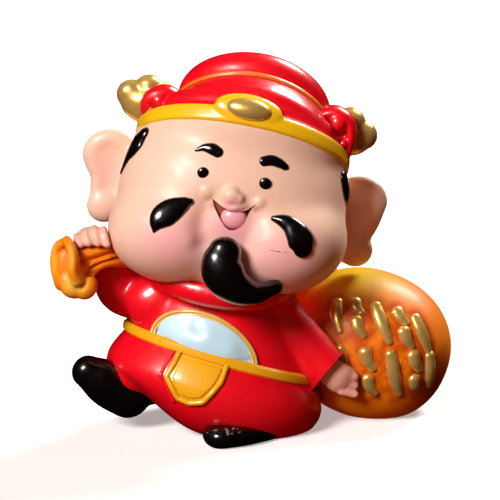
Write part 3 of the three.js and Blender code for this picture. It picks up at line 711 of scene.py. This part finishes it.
# The mouth is a dull red and the tongue a wet-looking pink.
mouth_paint = brushed_paint("dark_red_gloss_paint", "#C4645A", "#6E1E16")
cut(skin, paint(pocket, mouth_paint), "DIFFERENCE")
tongue_paint = brushed_paint("pink_gloss_paint", "#FFB2BC", "#C8646E")
tongue = paint(ball((2.35, 1.4, 2), (3.5, mouth_back - 0.15, 41.3), lean=8), tongue_paint)


# Eyes, brows, sideburns, moustaches and beard: fat drops of black gloss. The beard is a comma that curls to
# the figure's left. The hair that joins the sideburns behind, under the hat, is a thin raised layer.
eyes = [ball((1.02, 0.5, 1.02), front_of(skin, -1.77, 49.2)),
        ball((1.1, 0.5, 1.1), front_of(skin, 8.9, 47.3))]
brows = [
    on_form(skin, [(-3, 52.8), (-1.65, 53.25), (-0.25, 53.1), (0.8, 52.55)], [0.25, 0.7, 1.08, 1],
            [0.3, 0.5, 0.65, 0.5]),
    on_form(skin, [(8.7, 51), (10.1, 51.1), (11.5, 50.5), (12.4, 49.9)], [0.92, 0.98, 0.86, 0.66],
            [0.45, 0.6, 0.55, 0.4]),
]
moustaches = [
    on_form(skin, [(-3.9, 44.4), (-4.9, 44.1), (-6.9, 43.1), (-8.7, 41.9), (-9.7, 40.7), (-10.2, 39.4)],
            [0.55, 1.2, 2.1, 2.2, 1.5, 0.3], [0.6, 0.8, 1.1, 1.1, 0.9, 0.3]),
    on_form(skin, [(10.4, 41.5), (11.9, 41.1), (13.2, 40.4), (14.4, 39), (15.1, 37.5), (15.4, 36.4)],
            [0.56, 1.2, 1.6, 2.1, 2.3, 1.7], [0.6, 0.9, 1, 1.1, 1, 0.6]),
]
beard = limb([(2, -18.4, 36.2), (1.5, -18.8, 34.3), (2, -19, 31.9), (4.1, -18.6, 29.8), (6.7, -17.6, 28.6),
              (8.7, -16.8, 28.8), (10.7, -15.7, 29.3)],
             [2.9, 3.6, 3.75, 3, 2.2, 1.75, 1.5], [2.2, 2.7, 2.9, 2.7, 2.2, 1.9, 1.5], along=64, around=40)
beard = merged("beard", [beard], 0.28, 10)


def along_head(path, wide, thick):
    """A raised stroke that follows the head's side, from points near it."""
    spots = [skin.closest_point_on_mesh(Vector(p)) for p in path]
    facing = sum((normal for _, _, normal, _ in spots), Vector()).normalized()
    return limb([tuple(spot) for _, spot, _, _ in spots], wide, thick, facing=tuple(facing))


sideburns = [
    along_head([(-12.6, -5, 54.8), (-14, -5, 53.4), (-15.1, -5, 52), (-16, -4.6, 50.5), (-16.8, -4, 49),
                (-17.5, -3, 47.4)], [1.3, 2.3, 1.9, 1, 0.6, 0.3], [0.8, 0.9, 0.8, 0.6, 0.4, 0.3]),
    along_head([(24, -3.6, 46.4), (24.4, -3.2, 44.8), (24.9, -2.8, 43.1), (25.2, -2.2, 41.3)],
               [1.6, 1.9, 1.5, 0.5], [0.7, 0.8, 0.7, 0.3]),
]
HAIR_SWELL = (0.3, 0.9, 0.3)
hair_half = [half + swell for half, swell in zip(HEAD_HALF, HAIR_SWELL)]
hair = ball(hair_half, exponent=HEAD_SQUARENESS, around=96, **HEAD_PLACE)
cut(hair, ball((24, 20, 18), (4, 22, 50), around=64), "INTERSECT")
black_forms = [*eyes, *brows, *moustaches, beard, *sideburns, hair]
for form in black_forms:
    paint(form, black_paint)


# The hat: a yellow band that arches over a gem, a puffed lower tier, a thin orange cord and a domed upper
# tier, all cast with the head and tilted back.
BAND_HEIGHT = 2.2
BAND_FOOT = -1
HAT_FRONT = -HAT_RADIUS * HAT_DEPTH_RATIO
band_ring = turned([(0, BAND_FOOT), (HAT_RADIUS - 0.6, BAND_FOOT), (HAT_RADIUS - 0.15, BAND_FOOT + 0.15),
                    (HAT_RADIUS, BAND_FOOT + 0.6), (HAT_RADIUS, BAND_HEIGHT - 0.7),
                    (HAT_RADIUS - 0.3, BAND_HEIGHT - 0.2), (HAT_RADIUS - 1.1, BAND_HEIGHT), (0, BAND_HEIGHT)],
                   HAT_DEPTH_RATIO, around=160, soft=False)
badge = ball((6, 1.4, 2.8), (-0.7, HAT_FRONT + 0.8, BAND_HEIGHT - 0.1))
# A cooler yellow than the belt's, brown where it meets the brow, as pooled paint and painted shade.
band_paint = brushed_paint("lemon_gloss_paint", "#FDC814", "#A8600A")
band = paint(place(merged("band", [band_ring, badge], 0.34, 4), **HAT_PLACE), band_paint)


def drooped(obj, amount):
    """Lowers a hat tier towards its left and right ends."""
    points = points_of(obj)
    points[:, 2] -= amount * points[:, 0] ** 2
    move_points(obj, points)
    return obj


lower_tier = turned([(0, BAND_HEIGHT - 1.2), (17.4, BAND_HEIGHT - 0.8), (18, 2.8), (18.1, 4), (17.3, 5.5),
                     (15.4, 6.5), (13, 7.2), (0, 8)], HAT_DEPTH_RATIO, around=128)
LOWER_TIER_DROOP = 0.0015
place(drooped(lower_tier, LOWER_TIER_DROOP), **HAT_PLACE)
CROWN_PLACE = {"centre": (7, 5.4, 57.6), "lean": 11.5, "pitch": 37}
CROWN_DROOP = 0.009
upper_tier = turned([(0, -4), (13.3, -4), (13.5, 0.3), (13.9, 2), (13.6, 3.7), (12.3, 5.2), (9.4, 5.8),
                     (0, 5.7)], HAT_DEPTH_RATIO, around=128)
place(drooped(upper_tier, CROWN_DROOP), **CROWN_PLACE)
slope = turned([(0, -5.5), (16.6, -5.2), (16.5, -4), (15.4, -2.2), (14.4, -0.9), (13.8, -0.3), (0, -0.3)],
               HAT_DEPTH_RATIO, around=128, soft=False)
place(drooped(slope, CROWN_DROOP), **CROWN_PLACE)
tiers = paint(merged("tiers", [lower_tier, upper_tier, slope], 0.4, 6), red_paint)
# Orange acrylic, thinly varnished, laid on the cord in one stroke of the brush.
orange_paint = brushed_paint("orange_gloss_paint", "#F9741A", "#B03C0C", roughness=0.42, coat=0.2)
trim_ring = turned([(0, -0.8), (14, -0.8), (14.4, -0.6), (14.5, -0.2), (14.3, 0.2), (13.6, 0.35), (0, 0.35)],
                   HAT_DEPTH_RATIO, around=160, soft=False)
trim = paint(place(drooped(trim_ring, CROWN_DROOP), **CROWN_PLACE), orange_paint)


# Cloud scrolls stand at the hat's sides: a roll that curls round a knob, red. Behind each one is a gold
# ingot, shaped like a boat, with a round heap between its raised ends, and both are cast with the hat.
def cloud(roll, knob, small_knob, filler):
    """A curled roll of x and z places, with a knob in it, a small one by its tail, and a filler behind."""
    curl = [(x, -0.6, z) for x, z in roll]
    forms = [limb(curl, [1.3, 1.4, 1.3, 1.2, 1, 0.8], [2, 2.2, 2.2, 2, 1.8, 1.4]),
             ball((1.7, 1.7, 1.7), (knob[0], -1.9, knob[1])),
             ball((0.9, 1, 0.9), (small_knob[0], -2, small_knob[1])), ball((3, 2.6, 3.4), filler)]
    return paint(merged("cloud", forms, 0.25, 4), red_paint)


clouds = [
    cloud([(-7, 60.6), (-8.4, 61.2), (-10.3, 61.1), (-11.8, 59.9), (-12.2, 58.2), (-11.8, 57)],
          (-9.7, 59.8), (-10.8, 57.8), (-9.4, 0.6, 58.4)),
    cloud([(19.2, 57.2), (21.2, 57.6), (23.2, 56.7), (24.1, 54.9), (24, 52.4), (23.4, 49.8)],
          (21.8, 55.9), (22.8, 52.2), (21.4, 0.6, 54)),
]


def gold_leaf_paint(name):
    """Gold bronze powder paint: a metal skin laid with a brush, thin and browner in creases, with painted
    shade.
    """
    material = brushed_paint(name, "#FFD474", "#7A3A08", roughness=0.3, coat=0.0, unevenness=0.3)
    material.node_tree.nodes["Principled BSDF"].inputs["Metallic"].default_value = 0.6
    return material


gold_paint = gold_leaf_paint("gold_bronze_paint")


def ingot(centre, lean, side):
    """An ingot whose free tip is on the left, at side 1, or on the right, at side -1."""
    hull = limb([(-3.5 * side, 0, 0.1), (-2.1 * side, 0, -1.3), (0, 0, -1.9), (2.2 * side, 0, -1.5)],
                [2.6, 3.5, 4.1, 3.3], [2.3, 3, 3.6, 3], along=48)
    heap = ball((2.4, 2.4, 1.9), (0, 0, 1.3), around=32)
    return paint(place(merged("ingot", [hull, heap], 0.3, 14), centre, lean), gold_paint)


ingots = [ingot((-11.7, 3.4, 60.7), -4, 1), ingot((24, 3.4, 54.9), 36, -1)]
GEM_HALF = (3.9, 1.5, 1.95)
gem = ball(GEM_HALF, (-0.7, HAT_FRONT - 0.2, BAND_HEIGHT - 0.4))
paint(place(gem, **HAT_PLACE), gold_paint)


# The sack: a full round bag on the floor behind the figure's left side. Its gathered neck runs up the back
# and over the right shoulder to a mouth that flares out of the fist. It is painted orange, and its folds are
# red, partly as a thin wash and partly as painted shade.
SACK_HALF = (15.4, 13.5, 13.8)
SACK_PLACE = {"centre": (28.3, 10, 12.6), "lean": 20}
bag = ball(SACK_HALF, exponent=2.15, around=96, **SACK_PLACE)
neck_run = [(-21, -7, 33), (-16.6, -4.6, 32.6), (-11.6, 3, 31.4), (-3, 12, 28.4), (8, 16, 24),
            (18, 14.5, 20.5), (23, 12, 17)]
neck = limb(neck_run, [1.4, 1.8, 3.2, 4.4, 5, 6.2, 8], facing=(0, 0, 1), around=72, along=90, flutes=6,
            fold=0.09)
rear_lip = limb([(-25.8, -8.8, 36.1), (-27.4, -8.3, 35), (-28, -7.8, 33), (-27.8, -7.8, 30.8),
                 (-26.7, -8.2, 28.4)], [0.8, 0.95, 1, 1.2, 1.7], [0.9, 1.1, 1.2, 1.4, 1.7])
near_lip = limb([(-25.7, -9.8, 36.2), (-24.9, -11, 35), (-24.5, -11.4, 33.3), (-24.5, -11.4, 31.5),
                 (-24, -10.8, 29.6)], [0.85, 0.95, 0.95, 1.05, 1.4], [1.2, 1.6, 1.8, 1.8, 1.6])
lower_lip = limb([(-26, -9, 29), (-24.8, -9.2, 28.1), (-23.2, -8.8, 27.6)], [2, 2.4, 1.9], [1.8, 2.1, 1.8])
throat = ball((2.4, 1.2, 3.4), (-26, -6.2, 32.2))
funnel = limb([(-15.6, -5, 33), (-19.6, -6.8, 33.2), (-22.4, -8, 32.4), (-24, -8.6, 31.4)], [2.6, 2.5, 3, 4],
              [2.4, 2.2, 1.8, 1.2])
lower_lobe = ball((2.4, 1.8, 2.6), (-22.9, -9.6, 28.2))
mouth_forms = [rear_lip, near_lip, lower_lip, lower_lobe, throat, funnel]
gathers = [
    ([(-23.2, -10, 32.4), (-20.6, -9.4, 33), (-18, -8.2, 33.8), (-15.6, -7, 34.4)], 1.0),
    ([(-22.2, -10, 30.8), (-20, -9.2, 31.8), (-17.6, -8.2, 32.5), (-15.4, -7, 33)], 1.0),
    ([(-23.6, -10.6, 29), (-22.4, -10.2, 29.8), (-21.2, -9.4, 30.4)], 0.7),
]
sack_mouth = merged("sack_mouth", mouth_forms, 0.28, 4, keep=0.6)
for gather, depth in gathers:
    creased(sack_mouth, gather, depth, 0.55)
sack = merged("sack", [bag, neck], 0.45, 3)
# Orange acrylic under thin washes and little varnish: soft gloss, red in every fold, partly painted shade.
sack_paint = brushed_paint("orange_wash_light_and_shade_paint", "#FF8E0A", "#CC3A04", roughness=0.46, coat=0.06,
                           unevenness=0.2, pooling_and_shade=0.8)
sack_paint.node_tree.nodes["Principled BSDF"].inputs["Specular IOR Level"].default_value = 0.3
for form in (sack, sack_mouth):
    paint(form, sack_paint)
bpy.context.view_layer.update()


# Two rows of raised gold strokes on the sack's front: long dabs of a full brush, and equal short ones in
# pairs, that take turns and spell nothing. They stand nearly a millimetre proud, and a red-brown colour lies
# round them, partly a wash and partly their painted shade.
STROKE_ROWS = [{"start": (21.4, 25.6), "fall": -1}, {"start": (23.6, 14.6), "fall": -0.4}]
STROKE_LENGTH = 7.6
STROKES_IN_ROW = 5
STROKE_STEP = 4.4
STROKE_HALF_WIDTH = 1.2
STROKE_THICKNESS = 0.85
DAB_TAPER = [0.9, 1.05, 0.95, 0.6]
LONG_DAB = [(-0.9, 0), (-0.5, 0.33), (0.1, 0.66), (1.1, 1)]
SHORT_DABS = [[(-0.9, 0), (-0.5, 0.18), (0.5, 0.36)], [(-0.4, 0.62), (0, 0.8), (1, 0.98)]]
strokes = []
stroke_spots = []
for row in STROKE_ROWS:
    for i in range(STROKES_IN_ROW):
        x = row["start"][0] + i * STROKE_STEP
        top = row["start"][1] + i * row["fall"]
        for dab in [LONG_DAB] if i % 2 == 0 else SHORT_DABS:
            spots = []
            outward = Vector()
            for shift, share in dab:
                near = Vector((x + shift, -2, top - share * STROKE_LENGTH))
                _, spot, normal, _ = sack.closest_point_on_mesh(near)
                spots.append(tuple(spot))
                outward += normal
            tail = DAB_TAPER[-len(spots):]
            wide = [STROKE_HALF_WIDTH * size for size in tail]
            thick = [STROKE_THICKNESS * size for size in tail]
            stroke = limb(spots, wide, thick, facing=tuple(outward.normalized()))
            strokes.append(paint(stroke, gold_paint))
            stroke_spots.append(flowing(spots, 24)[0])
stroke_spots = np.vstack(stroke_spots)


# The casting: every form joined into one skin of solid polyresin, each keeping its paint, and cut flat where
# it stands. The foot shows the bare resin.
casting = robe
for form in [belt, belly, *belly_rims, *robe_edges, flap, boots, skin, hands, tongue, *black_forms, band,
             tiers, trim, *clouds, *ingots, gem, sack, sack_mouth, *strokes]:
    cut(casting, form, "UNION")
# Cast polyresin as it leaves the sanding belt: matt and ivory, with no varnish.
bare_resin = brushed_paint("bare_resin", "#E9DFCC", "#B8A888", roughness=0.6, coat=0.0)
bpy.ops.object.select_all(action="DESELECT")
bpy.ops.mesh.primitive_cube_add(size=200, location=(0, 0, 100))
above_table = paint(bpy.context.object, bare_resin)
cut(casting, above_table, "INTERSECT")

# Specks of space that stay enclosed where forms meet are dropped: only the largest shell is the casting.
select(casting)
bpy.ops.object.mode_set(mode="EDIT")
bpy.ops.mesh.select_all(action="SELECT")
bpy.ops.mesh.separate(type="LOOSE")
bpy.ops.object.mode_set(mode="OBJECT")
shells = sorted(bpy.context.selected_objects, key=lambda obj: len(obj.data.vertices))
casting = shells[-1]
for speck in shells[:-1]:
    bpy.data.objects.remove(speck)
casting.name = "painted_casting"
select(casting)
bpy.ops.object.mode_set(mode="EDIT")
bpy.ops.mesh.select_all(action="SELECT")
bpy.ops.mesh.quads_convert_to_tris()
bpy.ops.object.mode_set(mode="OBJECT")

# The red-brown round the strokes, partly a wash and partly painted shade, is laid on the sack within a few
# millimetres of a stroke, in broken patches.
WASH_AND_SHADE_REACH = 3.4
casting_points = points_of(casting)
to_stroke = np.full(len(casting_points), 99.0)
near_sack = casting_points[:, 0] > 16
away = [np.linalg.norm(casting_points[near_sack] - spot, axis=1) for spot in stroke_spots]
to_stroke[near_sack] = np.min(away, axis=0)
stroke_wash_and_shade = casting.data.attributes.new("stroke_wash_and_shade", "FLOAT", "POINT")
stroke_wash_and_shade.data.foreach_set("value", 1 - ease(to_stroke, 1.2, WASH_AND_SHADE_REACH))
tree = sack_paint.node_tree
spot = pattern_place(sack_paint)
near_strokes = add_node(tree, "Attribute", attribute_name="stroke_wash_and_shade").outputs["Fac"]
streaks = add_node(tree, "TexNoise", {"Vector": spot, "Scale": 0.45, "Detail": 3.0}).outputs["Fac"]
patches = add_node(tree, "MapRange", {"Value": streaks, "From Min": 0.3, "From Max": 0.55, "To Min": 0.0,
                                      "To Max": 0.8}).outputs["Result"]
patchy_wash_and_shade = add_node(tree, "Math", {0: near_strokes, 1: patches}, operation="MULTIPLY").outputs[0]
overlaid(sack_paint, patchy_wash_and_shade, "#B82C04")

# The bag's top is tinted yellow, partly paint and partly painted light where light falls on it. Its low outer
# side, the side by the robe and the neck are tinted red, partly paint and partly painted shade. The edges of
# the sack's mouth are tinted a paler yellow, as painted highlights on its lips.
SACK_LIGHT_AND_SHADE_TINTS = [
    ((24, 6, 28.4), (14, 16, 7), 1.0, "#FFDA20"), ((42, 4, 6), (9, 12, 9), 0.85, "#8E2404"),
    ((18, 2, 10), (5, 12, 13), 0.6, "#B02C04"), ((-15.5, -5, 32.6), (5.5, 6, 4), 0.85, "#B83406"),
    ((-24.7, -12, 33.6), (1.1, 2, 3.8), 0.8, "#FFC83C"), ((-24.2, -11, 28.6), (3.2, 3, 2.8), 0.8, "#FFCC4C"),
    ((-28.2, -8, 33), (0.9, 3, 4.5), 0.6, "#FFC83C"),
]
for centre, reach, strength, colour in SACK_LIGHT_AND_SHADE_TINTS:
    overlaid(sack_paint, region(tree, spot, centre, reach, strength), colour)
move_points(casting, points_of(casting) * MM + np.array(figure_origin))
bpy.ops.object.shade_smooth_by_angle(angle=math.radians(35))


def sharpen_paint_edges(obj):
    """Keeps the shading of one paint from running into the next."""
    shape = bmesh.new()
    shape.from_mesh(obj.data)
    for edge in shape.edges:
        paints = {face.material_index for face in edge.link_faces}
        edge.smooth = edge.smooth and len(paints) == 1
    shape.to_mesh(obj.data)
    shape.free()


sharpen_paint_edges(casting)
print("casting", len(casting.data.polygons), "triangles")
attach(casting, "root")
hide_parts("figurine")
